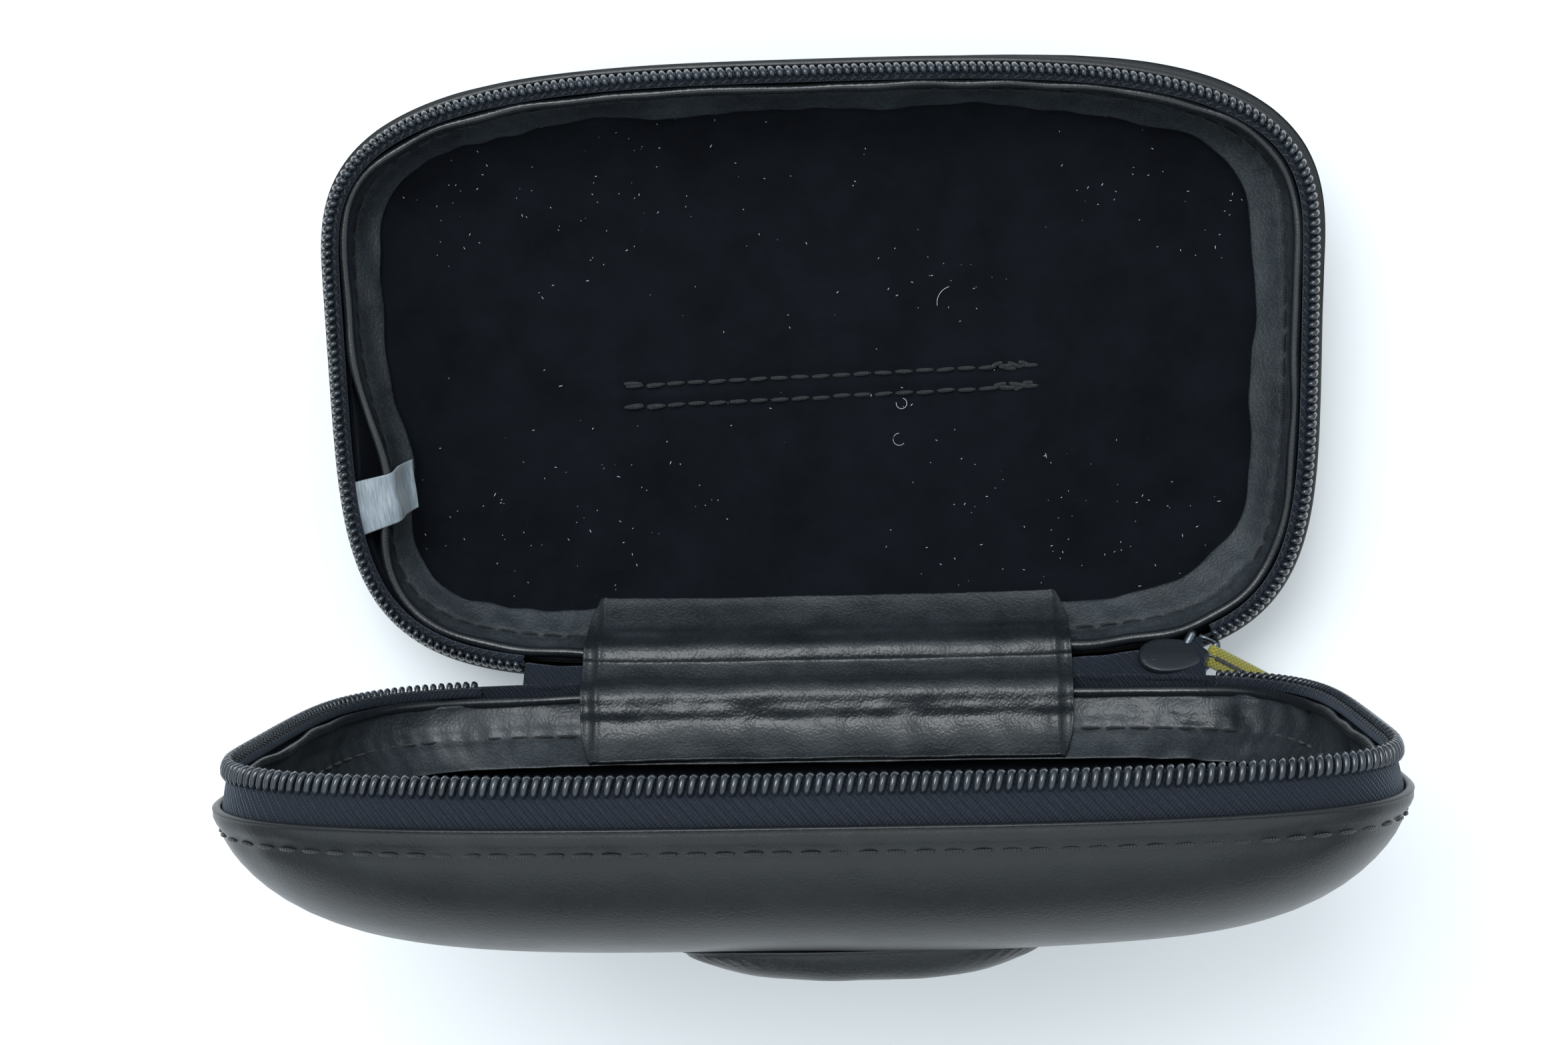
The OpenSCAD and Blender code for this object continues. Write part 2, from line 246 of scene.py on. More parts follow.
def tube(name, centres, radii, sides=8, closed=False):
    """Round tube along centres in metres, with a radius in mm at each point."""
    count = len(centres)
    ahead = np.roll(centres, -1, 0) - np.roll(centres, 1, 0)
    if not closed:
        ahead[0], ahead[-1] = centres[1] - centres[0], centres[-1] - centres[-2]
    ahead /= np.linalg.norm(ahead, axis=1)[:, None]
    side = np.cross(ahead[0], [0.31, 0.2, 0.93])
    sides_dir = []
    for direction in ahead:
        side = side - (side @ direction) * direction
        side = side / np.linalg.norm(side)
        sides_dir.append(side)
    first = np.array(sides_dir)
    second = np.cross(ahead, first)
    angles = np.arange(sides) * 2 * np.pi / sides
    radii = np.broadcast_to(np.asarray(radii, float), (count,)) * MM
    ring = first[:, None] * np.cos(angles)[None, :, None] + second[:, None] * np.sin(angles)[None, :, None]
    points = centres[:, None] + ring * radii[:, None, None]
    u = run_lengths(centres, closed) / MM
    v = np.linspace(0, 1, sides + 1) * 2 * np.pi * float(radii.max()) / MM
    return grid_object(name, points, u, v, loop_u=closed, loop_v=True, caps=not closed)


def threads(name, starts, ends, normals, radius, lift):
    """Separate stitches: short bent threads from starts to ends, in metres, arched along normals."""
    rings, sides = 7, 6
    share = np.linspace(0, 1, rings)[None, :, None]
    along = ends - starts
    normals = normals / np.linalg.norm(normals, axis=1)[:, None]
    arch = np.sin(np.pi * share) ** 0.7 * lift * MM - 0.25 * radius * MM
    centres = starts[:, None] + along[:, None] * share + normals[:, None] * arch
    across = np.cross(along, normals)
    across /= np.linalg.norm(across, axis=1)[:, None]
    widths = np.array([0.4, 0.85, 1, 1.04, 1, 0.85, 0.4])[None, :, None, None] * radius * MM
    angles = np.arange(sides) * 2 * np.pi / sides
    ring = across[:, None, None] * np.cos(angles)[None, None, :, None] \
        + normals[:, None, None] * np.sin(angles)[None, None, :, None]
    points = centres[:, :, None] + ring * widths
    faces, uvs = [], []
    long = float(np.linalg.norm(along[0]))
    for m in range(len(starts)):
        base = m * rings * sides
        for j in range(rings - 1):
            for i in range(sides):
                a, b = base + j * sides + i, base + j * sides + (i + 1) % sides
                faces.append([a, b, b + sides, a + sides])
                u0, u1 = long * j / (rings - 1), long * (j + 1) / (rings - 1)
                v0, v1 = i * radius * MM, (i + 1) * radius * MM
                uvs += [(u0, v0), (u0, v1), (u1, v1), (u1, v0)]
        faces.append([base + i for i in range(sides)])
        faces.append([base + (rings - 1) * sides + i for i in range(sides)])
        uvs += [(0, 0)] * (2 * sides)
    return mesh_object(name, points, faces, uvs)


def disc(name, outline, profile, to_row, count):
    """A plate: rings of the outline scaled by r at height z, for each (r, z); cap_ends() closes it."""
    angles = np.linspace(0, 2 * np.pi, count, endpoint=False)
    x, y = outline(angles)
    points = np.stack([np.stack([x * r, y * r, np.full(count, z)], -1) for r, z in profile], 1)
    u = run_lengths(np.stack([x, y], -1), True)
    v = run_lengths(np.array([[r * max(x.max(), y.max()), z] for r, z in profile]))
    return grid_object(name, to_row(points), u, v, loop_u=True)


# ---------------------------------------------------------------- material helpers
class Nodes:
    """A material and short names for the nodes that it is made of."""

    def __init__(self, name, **constants):
        self.material = bpy.data.materials.new(name)
        self.material.use_nodes = True
        self.tree = self.material.node_tree
        self.shader = next(n for n in self.tree.nodes if n.type == "BSDF_PRINCIPLED")
        for key, value in constants.items():
            self.shader.inputs[key.replace("_", " ")].default_value = value

    def add(self, kind, inputs=None, **settings):
        node = self.tree.nodes.new("ShaderNode" + kind)
        for key, value in settings.items():
            setattr(node, key, value)
        for key, value in (inputs or {}).items():
            if isinstance(value, bpy.types.NodeSocket):
                self.tree.links.new(value, node.inputs[key])
            else:
                node.inputs[key].default_value = value
        return node

    def place(self, kind="Object"):
        return self.add("TexCoord").outputs[kind]

    def noise(self, size, detail=3, where=None, rough=0.55):
        return self.add("TexNoise", {"Vector": where or self.place(), "Scale": 1 / (size * MM),
                                     "Detail": detail, "Roughness": rough}).outputs["Fac"]

    def cells(self, size, where, feature="SMOOTH_F1"):
        inputs = {"Vector": where, "Scale": 1 / (size * MM)}
        if feature == "SMOOTH_F1":
            inputs["Smoothness"] = 0.6
        return self.add("TexVoronoi", inputs, feature=feature).outputs["Distance"]

    def maths(self, operation, a, b=0.0):
        return self.add("Math", {0: a, 1: b}, operation=operation).outputs[0]

    def span(self, value, low, high, to_low=0.0, to_high=1.0):
        return self.add("MapRange", {"Value": value, "From Min": low, "From Max": high,
                                     "To Min": to_low, "To Max": to_high}).outputs[0]

    def mix(self, share, a, b):
        node = self.add("Mix", data_type="RGBA")
        for socket, value in ((0, share), (6, a), (7, b)):
            if isinstance(value, bpy.types.NodeSocket):
                self.tree.links.new(value, node.inputs[socket])
            elif socket:
                node.inputs[socket].default_value = (*value, 1)
            else:
                node.inputs[socket].default_value = value
        return node.outputs[2]

    def bump(self, height, distance):
        return self.add("Bump", {"Height": height, "Distance": distance * MM, "Strength": 1.0}).outputs[0]

    def into(self, **sockets):
        for key, value in sockets.items():
            self.tree.links.new(value, self.shader.inputs[key.replace("_", " ")])
        return self.material


def uv_waves(n, pitch_u, pitch_v):
    """Two crossed waves over the UV map, from -1 to 1."""
    uv = n.add("SeparateXYZ", {0: n.place("UV")})
    u = n.maths("SINE", n.maths("MULTIPLY", uv.outputs[0], 2 * math.pi / (pitch_u * MM)))
    v = n.maths("SINE", n.maths("MULTIPLY", uv.outputs[1], 2 * math.pi / (pitch_v * MM)))
    return u, v


def leather(name, dark, light, grain, depth, rough, where="Object"):
    """Smooth black leather: fine grain, pores, slow mottling and faint creases."""
    n = Nodes(name, Specular_IOR_Level=0.5)
    spot = n.place(where)
    warp = n.add("TexNoise", {"Vector": spot, "Scale": 420.0, "Detail": 2.0}).outputs["Color"]
    shift = n.add("VectorMath", {0: warp, 1: (0.0008,) * 3}, operation="MULTIPLY").outputs[0]
    bent = n.add("VectorMath", {0: spot, 1: shift}, operation="ADD").outputs[0]
    pebble = n.cells(grain, bent)
    crease = n.cells(grain * 4.3, bent, "DISTANCE_TO_EDGE")
    pores = n.noise(grain * 0.3, 4, spot)
    mottle = n.noise(12, 4, spot, 0.6)
    high = n.span(pebble, 0.15, 0.65, 1.0, 0.0)
    tone = n.maths("ADD", n.maths("MULTIPLY", high, 0.4), n.maths("MULTIPLY", n.span(mottle, 0.3, 0.7), 0.6))
    colour = n.mix(tone, dark, light)
    height = n.maths("ADD", high, n.maths("MULTIPLY", pores, 0.4))
    height = n.maths("ADD", height, n.span(crease, 0.0, 0.10, -0.5, 0.0))
    roughness = n.span(n.maths("ADD", n.maths("MULTIPLY", pores, 0.4), n.maths("MULTIPLY", mottle, 0.6)),
                       0.35, 0.65, rough[0], rough[1])
    return n.into(Base_Color=colour, Roughness=roughness, Normal=n.bump(height, depth))


def velvet_material():
    n = Nodes("velvet", Specular_IOR_Level=0.12, Sheen_Weight=0.16, Sheen_Roughness=0.42,
              Sheen_Tint=(0.46, 0.55, 0.72, 1), Roughness=0.95)
    nap = n.noise(11, 5, rough=0.62)
    fuzz = n.noise(0.32, 3)
    brushed = n.noise(2.6, 4)
    tone = n.maths("ADD", n.maths("MULTIPLY", n.span(nap, 0.32, 0.68), 0.6), n.maths("MULTIPLY", fuzz, 0.4))
    colour = n.mix(tone, (0.0015, 0.0021, 0.0034), (0.0060, 0.0078, 0.0118))
    height = n.maths("ADD", n.maths("MULTIPLY", fuzz, 0.6), n.maths("MULTIPLY", brushed, 0.8))
    return n.into(Base_Color=colour, Normal=n.bump(height, 0.22))


def tape_material():
    """Zip tape: fine ribbed twill with a slanting rib and a little fuzz."""
    n = Nodes("zip_tape", Specular_IOR_Level=0.3, Sheen_Weight=0.25, Sheen_Roughness=0.4,
              Sheen_Tint=(0.5, 0.6, 0.75, 1))
    u, v = uv_waves(n, 0.62, 0.7)
    uv = n.add("SeparateXYZ", {0: n.place("UV")})
    slant = n.maths("ADD", n.maths("MULTIPLY", uv.outputs[0], 2 * math.pi / (0.9 * MM)),
                    n.maths("MULTIPLY", uv.outputs[1], 2 * math.pi / (1.1 * MM)))
    twill = n.maths("SINE", slant)
    knit = n.maths("ADD", n.maths("MULTIPLY", u, v), n.maths("MULTIPLY", twill, 0.7))
    fuzz = n.noise(0.4, 3)
    high = n.span(n.maths("ADD", knit, fuzz), -0.9, 2.0)
    colour = n.mix(high, (0.0020, 0.0034, 0.0070), (0.0105, 0.0165, 0.029))
    return n.into(Base_Color=colour, Roughness=n.span(fuzz, 0.3, 0.7, 0.62, 0.9), Normal=n.bump(high, 0.16))


def teeth_material():
    n = Nodes("zip_coil", Specular_IOR_Level=0.6, Coat_Weight=0.35, Coat_Roughness=0.12)
    fine = n.noise(0.5, 3)
    slow = n.noise(9, 3)
    colour = n.mix(n.span(slow, 0.3, 0.7), (0.006, 0.009, 0.014), (0.020, 0.028, 0.038))
    return n.into(Base_Color=colour, Roughness=n.span(fine, 0.3, 0.7, 0.16, 0.30), Normal=n.bump(fine, 0.02))


def thread_material(name, dark, light):
    """Twisted thread: slanting plies."""
    n = Nodes(name, Specular_IOR_Level=0.45, Sheen_Weight=0.2)
    uv = n.add("SeparateXYZ", {0: n.place("UV")})
    slant = n.maths("ADD", n.maths("MULTIPLY", uv.outputs[0], 2 * math.pi / (0.45 * MM)),
                    n.maths("MULTIPLY", uv.outputs[1], 2 * math.pi / (1.6 * MM)))
    ply = n.span(n.maths("SINE", slant), -1.0, 1.0)
    fuzz = n.noise(0.25, 2)
    colour = n.mix(n.maths("MULTIPLY", ply, n.span(fuzz, 0.2, 0.8, 0.6, 1.1)), dark, light)
    return n.into(Base_Color=colour, Roughness=n.span(fuzz, 0.3, 0.7, 0.4, 0.65), Normal=n.bump(ply, 0.08))


def satin_material():
    """Satin ribbon: long streaks along its weave."""
    n = Nodes("tab_satin", Specular_IOR_Level=0.55, Sheen_Weight=0.3, Anisotropic=0.5)
    uv = n.add("SeparateXYZ", {0: n.place("UV")})
    slow = n.maths("MULTIPLY", uv.outputs[0], 0.12)
    stretched = n.add("CombineXYZ", {0: slow, 1: uv.outputs[1]}).outputs[0]
    streak = n.noise(0.34, 3, stretched)
    wide = n.noise(1.6, 3, stretched)
    tone = n.maths("ADD", n.maths("MULTIPLY", streak, 0.6), n.maths("MULTIPLY", wide, 0.4))
    colour = n.mix(n.span(tone, 0.35, 0.65), (0.13, 0.165, 0.19), (0.30, 0.35, 0.39))
    roughness = n.span(streak, 0.3, 0.7, 0.30, 0.48)
    return n.into(Base_Color=colour, Roughness=roughness, Normal=n.bump(streak, 0.05))


def gunmetal_material():
    """Plated die-cast metal: drawn scratches, small pits and worn lighter patches."""
    n = Nodes("gunmetal", Metallic=0.95, Specular_IOR_Level=0.5)
    where = n.place()
    drawn = n.add("VectorMath", {0: where, 1: (0.18, 1.0, 1.0)}, operation="MULTIPLY").outputs[0]
    scratch = n.noise(0.35, 5, drawn, 0.7)
    patch = n.noise(3.2, 4, where)
    worn = n.span(n.maths("ADD", scratch, patch), 0.75, 1.25)
    colour = n.mix(worn, (0.055, 0.066, 0.078), (0.16, 0.185, 0.21))
    roughness = n.span(scratch, 0.3, 0.7, 0.20, 0.38)
    return n.into(Base_Color=colour, Roughness=roughness, Normal=n.bump(scratch, 0.03))


def enamel_material():
    """Dark satin enamel on the slider, with a few long scratches."""
    n = Nodes("slider_enamel", Metallic=0.35, Specular_IOR_Level=0.5)
    where = n.place()
    drawn = n.add("VectorMath", {0: where, 1: (0.10, 1.0, 1.0)}, operation="MULTIPLY").outputs[0]
    scratch = n.span(n.noise(0.5, 5, drawn, 0.7), 0.62, 0.72)
    fine = n.noise(0.4, 4, where)
    colour = n.mix(scratch, (0.016, 0.021, 0.026), (0.13, 0.15, 0.17))
    return n.into(Base_Color=colour, Roughness=n.span(fine, 0.3, 0.7, 0.34, 0.50), Normal=n.bump(fine, 0.02))


def webbing_material():
    n = Nodes("olive_strap", Specular_IOR_Level=0.3, Sheen_Weight=0.35, Sheen_Roughness=0.4)
    u, v = uv_waves(n, 0.9, 0.8)
    knit = n.span(n.maths("MULTIPLY", u, v), -1.0, 1.0)
    fuzz = n.noise(0.3, 3)
    worn = n.maths("MULTIPLY", knit, n.span(fuzz, 0.2, 0.8, 0.7, 1.2))
    colour = n.mix(worn, (0.16, 0.145, 0.018), (0.36, 0.33, 0.07))
    return n.into(Base_Color=colour, Roughness=n.span(fuzz, 0.3, 0.7, 0.6, 0.85), Normal=n.bump(knit, 0.14))


def lint_material():
    n = Nodes("lint", Roughness=0.7, Specular_IOR_Level=0.3)
    return n.into(Base_Color=n.mix(n.noise(4, 2), (0.35, 0.40, 0.46), (0.85, 0.88, 0.92)))


def board_material():
    n = Nodes("shell_board", Specular_IOR_Level=0.3)
    fibre = n.noise(0.8, 5)
    colour = n.mix(n.span(fibre, 0.3, 0.7), (0.020, 0.020, 0.021), (0.045, 0.044, 0.043))
    return n.into(Base_Color=colour, Roughness=n.span(fibre, 0.3, 0.7, 0.7, 0.9), Normal=n.bump(fibre, 0.1))


def floor_material():
    n = Nodes("table", Roughness=0.6, Specular_IOR_Level=0.2)
    return n.into(Base_Color=n.mix(n.noise(120, 3), (0.86, 0.88, 0.90), (0.90, 0.92, 0.93)))


SHELL_BLACKS = (0.0050, 0.0062, 0.0078), (0.0105, 0.0128, 0.0152)
PATCH_BLACKS = (0.009, 0.0115, 0.014), (0.026, 0.032, 0.037)
COVER = leather("cover_leather", *SHELL_BLACKS, 0.40, 0.014, (0.32, 0.42))
FACING = leather("facing_leather", (0.014, 0.0175, 0.021), (0.042, 0.051, 0.059), 0.50, 0.03, (0.33, 0.45))
PATCH = leather("patch_leather", *PATCH_BLACKS, 0.50, 0.03, (0.28, 0.40), "UV")
SPINE = leather("spine_leather", *SHELL_BLACKS, 0.40, 0.014, (0.32, 0.42), "UV")
WELT = leather("welt_leather", (0.008, 0.010, 0.012), (0.018, 0.022, 0.026), 0.4, 0.012, (0.22, 0.30))
PAD = leather("pad_leather", (0.006, 0.0075, 0.009), (0.014, 0.017, 0.020), 0.45, 0.02, (0.32, 0.44))
VELVET = velvet_material()
TAPE = tape_material()
COIL = teeth_material()
THREAD = thread_material("thread", (0.0025, 0.0035, 0.005), (0.012, 0.016, 0.021))
SATIN = satin_material()
METAL = gunmetal_material()
ENAMEL = enamel_material()
STRAP = webbing_material()
CORE = thread_material("core_thread", (0.004, 0.004, 0.005), (0.022, 0.022, 0.024))
LINT = lint_material()
BOARD = board_material()


def dress(obj, material, body=None, replaces=()):
    obj.data.materials.clear()
    obj.data.materials.append(material)
    if body:
        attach(obj, body)
    if replaces:
        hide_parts(*replaces)
    return obj


# ---------------------------------------------------------------- the two moulded domes
ROUND = 480           # points round the outline
WALL_W = np.array([0, .02, .05, .09, .14, .2, .27, .34, .42, .5, .58, .66, .73, .79])


def dome_ring(t, k, kind, value):
    """One ring of a dome layer: a share of the way out to the outline, or of the way down the wall."""
    if kind == "out":
        return at(t, k, 0, value)
    return at(t, k, FLANGE_D + value * (DOME_D - k - FLANGE_D))


def dome_rings(t, k, bend, inward_first):
    """Rings of a dome layer from its middle to the flange, or back; bend(p) is added to k at each point."""
    reach = (1 - WALL_W[-1] ** DOME_Q) ** (1 / squareness(t))
    rings = [("out", reach * (1 - f)) for f in np.linspace(1, 0.03, 34)] + [("down", w) for w in WALL_W[::-1]]
    if inward_first:
        rings = rings[::-1]
    out = []
    for kind, value in rings:
        plain = dome_ring(t, k, kind, value)
        out.append(dome_ring(t, k + bend(plain), kind, value) if bend else plain)
    return out


def layer_object(name, half, k_out, k_in, rim, bend_out=None, bend_in=None):
    """A closed moulded layer: outer face, rim given as (k, d) points, and inner face."""
    t, u = even_angles(0, 360, ROUND, True)
    rings = dome_rings(t, k_out, bend_out, False) + [at(t, k, d) for k, d in rim] \
        + dome_rings(t, k_in, bend_in, True)
    points = np.stack(rings, 1)
    return grid_object(name, place(half, points), u, run_lengths(points[0]), loop_u=True)


def cover(half):
    """Leather shell: stitched-down rim with small puckers; the back half's front corners bulge."""
    seed = 11 if half is REAR else 12

    def bend(p):
        d = -p[..., 2]
        groove = 0.30 * np.exp(-((d - RIM_ROW_D) / 0.8) ** 2)
        pucker = 0.10 * np.exp(-((d - RIM_ROW_D) / 2.2) ** 2) * ripple(p, 4, seed)
        lip = -0.22 * np.exp(-((d - FLANGE_D - 1.2) / 1.0) ** 2)
        soft = 0.16 * ripple(p, 34, seed + 1) * np.clip((d - 9) / 8, 0, 1)
        corners = hump(p, 66, 96, 20) + 0.25 * hump(p, -66, 96, 20)
        corner = -1.3 * corners * np.exp(-((d - FLANGE_D) / 4) ** 2)
        return groove + pucker + lip + 0.7 * soft + (corner if half is REAR else 0)

    rim = [(-0.2, FLANGE_D - .05), (0.10, FLANGE_D - .28), (0.32, FLANGE_D - .42), (0.62, FLANGE_D - .44),
           (0.92, FLANGE_D - .38), (1.12, FLANGE_D - .2), (COVER_IN, FLANGE_D)]
    obj = layer_object(half[0] + "_leather_cover", half, 0, COVER_IN, rim, bend)
    return dress(obj, COVER, half[1], [half[0] + "_cover"])


def floor_rows(half, x):
    """The y of the two sewn rows in the velvet at x: they run a little askew."""
    y = PAD_AT[half[0]][1]
    return y - 2 + 0.03 * x, y + 2 + 0.028 * x


def sewn_half(half):
    """Middle x and half the length of the sewn rows."""
    x, _, length = PAD_AT[half[0]]
    return x, length / 2 - 3.5


def lining(half):
    """Velvet: soft waves of the nap, and the furrows along the two sewn rows."""
    seed = 21 if half is REAR else 22

    def bend(p):
        middle, reach = sewn_half(half)
        inside = np.clip((reach + 5 - np.abs(p[..., 0] - middle)) / 5, 0, 1) * (-p[..., 2] > 20)
        rows = sum(np.exp(-((p[..., 1] - y) / 1.3) ** 2) for y in floor_rows(half, p[..., 0]))
        between = np.exp(-((p[..., 1] - PAD_AT[half[0]][1] - 0.029 * p[..., 0]) / 1.4) ** 2)
        sewn = -0.55 * rows * inside + 0.25 * between * inside
        return sewn + 0.10 * ripple(p, 7, seed) + 0.22 * ripple(p, 26, seed + 1)

    rim = [(LINING_K[0], LAYER_TOP + .3), (LINING_K[0] + .2, LAYER_TOP), (LINING_K[1] - .2, LAYER_TOP),
           (LINING_K[1], LAYER_TOP + .3)]
    obj = layer_object(half[0] + "_velvet", half, LINING_K[0], LINING_K[1], rim, None, bend)
    return dress(obj, VELVET, half[1], [half[0] + "_lining"])


def left_pull(half, t):
    """The back half's left side is dragged inward round the ribbon tab."""
    if half is FRONT:
        return 0 * t
    x, y = loop_pt(t, 0)
    return 4.9 * np.exp(-((y - 37) / 10) ** 2 / 2) * (x < 0)


FACING_L = 11.5       # width of the leather band
FACING_ROW = 6.0      # its sewn line, from the upper edge


def facing_point(half, t, s, lift=0.0):
    """Half-frame point of the band's face at s mm from its upper edge, raised by lift towards the inside."""
    right, front, left, hinge = side_weights(t)
    share = np.clip(s / FACING_L, 0, 1.05)
    drop = 10.6 - 0.7 * right - (1.6 if half is REAR else 0.6) * hinge
    inset = 2.6 * right + 1.4 * front + 0.4 * left + (6.0 if half is REAR else 5.2) * hinge
    k = 4.35 + inset * share ** 1.25 + 0.35 * np.sin(np.pi * np.clip(share, 0, 1))
    k = k + left_pull(half, t) * (1 - 0.5 * share)
    d = LAYER_TOP + drop * share + np.minimum(s, 0)
    return at(t, k + lift, d)


def facing(half):
    """Pebbled leather band round the inside of the rim, with its free lower edge."""
    seed = 31 if half is REAR else 33
    t, u = even_angles(0, 360, 620, True)
    face_s = np.concatenate([np.linspace(-0.9, 0, 3)[:-1], np.linspace(0, FACING_L - 0.35, 26)])
    turn = [(FACING_L - 0.1, 0.07), (FACING_L + 0.05, 0.3), (FACING_L - 0.1, 0.53)]
    section = [(s, 0.0) for s in face_s] + turn + [(s, 0.6) for s in face_s[::-5]]
    rows = []
    for s, back in section:
        p = facing_point(half, t, s)
        lift = -back
        seam = math.exp(-((s - FACING_ROW) / 0.75) ** 2)
        near_seam = math.exp(-((s - FACING_ROW) / 2.6) ** 2)
        lift = lift - 0.30 * seam + 0.14 * near_seam * np.sin(2 * np.pi * u[:-1] / (STITCH_GAP * 0.9))
        lift = lift + 0.26 * ripple(p, 11, seed) * min(1, max(0, s) / 3) + 0.10 * ripple(p, 3.2, seed + 1)
        if half is REAR:
            lift = lift + 1.3 * hump(p, 73, 16, 3.2)
        else:
            lift = lift + 0.9 * hump(p, -67, 6, 3) + 0.5 * ripple(p, 4.5, seed + 5) * hump(p, 70, 8, 12)
        rows.append(facing_point(half, t, s, lift))
    points = np.stack(rows, 1)
    obj = grid_object(half[0] + "_facing_band", place(half, points), u, run_lengths(points[0], True),
                      loop_u=True, loop_v=True)
    return dress(obj, FACING, half[1], [half[0] + "_facing"])


def facing_stitches(half):
    """The sewn line of the facing, left out where the hinge patch covers it."""
    t0, t1 = t_at_x(PATCH_W / 2 + 1) - 360, t_at_x(-PATCH_W / 2 - 1)
    count = int((length_at(t1) - length_at(t0)) / STITCH_GAP)
    t, _ = even_angles(t0, t1, 10 * count)
    begins, ends = t[1::10][:count], t[9::10][:count]
    sunk = -0.12
    a = place(half, facing_point(half, begins, FACING_ROW, sunk))
    b = place(half, facing_point(half, ends, FACING_ROW, sunk))
    middle = (begins + ends) / 2
    raised, level = (place(half, facing_point(half, middle, FACING_ROW, up)) for up in (1.0, 0.0))
    obj = threads(half[0] + "_facing_stitches", a, b, raised - level, 0.26, 0.16)
    return dress(obj, THREAD, half[1])


def welt(half):
    """Rolled leather bead along the upper edge of the facing."""
    t, _ = even_angles(0, 360, 560, True)
    p = at(t, WELT_K + left_pull(half, t), WELT_D)
    wander = 0.16 * ripple(p, 9, 41 if half is REAR else 42)
    p = at(t, WELT_K + left_pull(half, t) + wander, WELT_D + wander * 0.6)
    radii = WELT_R * (1 + 0.06 * ripple(p, 6, 43))
    obj = tube(half[0] + "_welt_bead", place(half, p), radii, 12, True)
    return dress(obj, WELT, half[1], [half[0] + "_welt"])


COIL_PITCH = 1.47
COIL_K, COIL_D = 1.25, 1.6
ZIP_FROM_X = 69
ZIP_TO_X = {"rear": -55, "front": -62}
TAPE_END = 2          # how far the tape runs in under the hinge patch


def zip_span(half):
    """Angles where the teeth begin at the slider and end at the left."""
    return t_at_x(ZIP_FROM_X) - 360, t_at_x(ZIP_TO_X[half[0]])


def tape(half):
    """Zip tape from the coil down behind the flange."""
    t, u = even_angles(t_at_x(PATCH_W / 2 - TAPE_END) - 360, t_at_x(TAPE_END - PATCH_W / 2), 420)
    section = [(1.62, .95), (1.45, .85), (1.32, 1.0), (1.3, 2.4), (1.3, 4), (1.3, 5.6), (1.3, 7.2),
               (1.3, 9.4), (1.65, 9.4), (1.65, 7.2), (1.65, 5.6), (1.65, 4), (1.65, 2.4), (1.66, 1.2)]
    rows = []
    for k, d in section:
        wave = 0.10 * ripple(at(t, k, d), 13, 51) * math.exp(-((d - 4) / 2.5) ** 2)
        rows.append(at(t, k + wave, d))
    points = np.stack(rows, 1)
    obj = grid_object(half[0] + "_zip_tape", place(half, points), u, run_lengths(points[0], True),
                      loop_v=True, caps=True)
    dress(obj, TAPE, half[1], [half[0] + "_tape"])


def tape_edge(half):
    """The tape's woven inner edge beside the coil, and the slanting stitches that hold the coil on it."""
    edge = [(1.75, 1.15), (2.05, .92), (2.5, 1.1), (2.95, 1.6), (3.15, 2.3), (2.95, 2.75), (2.75, 2.3),
            (2.35, 1.6)]
    t, u = even_angles(*zip_span(half), 420)
    points = np.stack([at(t, k, d) for k, d in edge], 1)
    obj = grid_object(half[0] + "_tape_edge", place(half, points), u, run_lengths(points[0], True),
                      loop_v=True, caps=True)
    dress(obj, TAPE, half[1])
    count = int(u[-1] / 1.9)
    t, _ = even_angles(*zip_span(half), 2 * count + 1)
    a, b = place(half, at(t[0:-1:2], 2.2, .82)), place(half, at(t[1::2], 2.75, 1.18))
    out = place(half, at(t[0:-1:2], 2.3, 0)) - place(half, at(t[0:-1:2], 2.3, 1))
    dress(threads(half[0] + "_coil_sewing", a, b, out, 0.17, 0.1), THREAD, half[1])


def coil(half):
    """The coiled zip teeth: one continuous spiral with fuller heads."""
    t0, t1 = zip_span(half)
    turns = int((length_at(t1) - length_at(t0)) / COIL_PITCH)
    per_turn = 12
    t, _ = even_angles(t0, t1, turns * per_turn + 1)
    phase = 2 * np.pi * np.arange(len(t)) / per_turn
    k = COIL_K + 0.66 * np.cos(phase)
    d = COIL_D - 1.22 * np.sin(phase)
    head = np.clip(np.sin(phase), 0, 1) ** 2
    outer = np.clip(-np.cos(phase), 0, 1)
    obj = tube(half[0] + "_zip_coil", place(half, at(t, k, d)), 0.34 + 0.24 * head + 0.20 * outer, 8)
    return dress(obj, COIL, half[1], [half[0] + "_teeth"])


def rim_stitches(half):
    """The sewn line on the outside, just below the flange's edge."""
    count = int(length_at(360) - length_at(0)) // 4
    t, _ = even_angles(0, 360, 10 * count, True)
    begins, ends = t[1::10], t[8::10]
    a, b = place(half, at(begins, 0.12, RIM_ROW_D)), place(half, at(ends, 0.12, RIM_ROW_D))
    middle = (begins + ends) / 2
    out = place(half, at(middle, -1, RIM_ROW_D)) - place(half, at(middle, 0, RIM_ROW_D))
    obj = threads(half[0] + "_rim_thread", a, b, out, 0.27, 0.18)
    return dress(obj, THREAD, half[1], [half[0] + "_rim_stitches"])


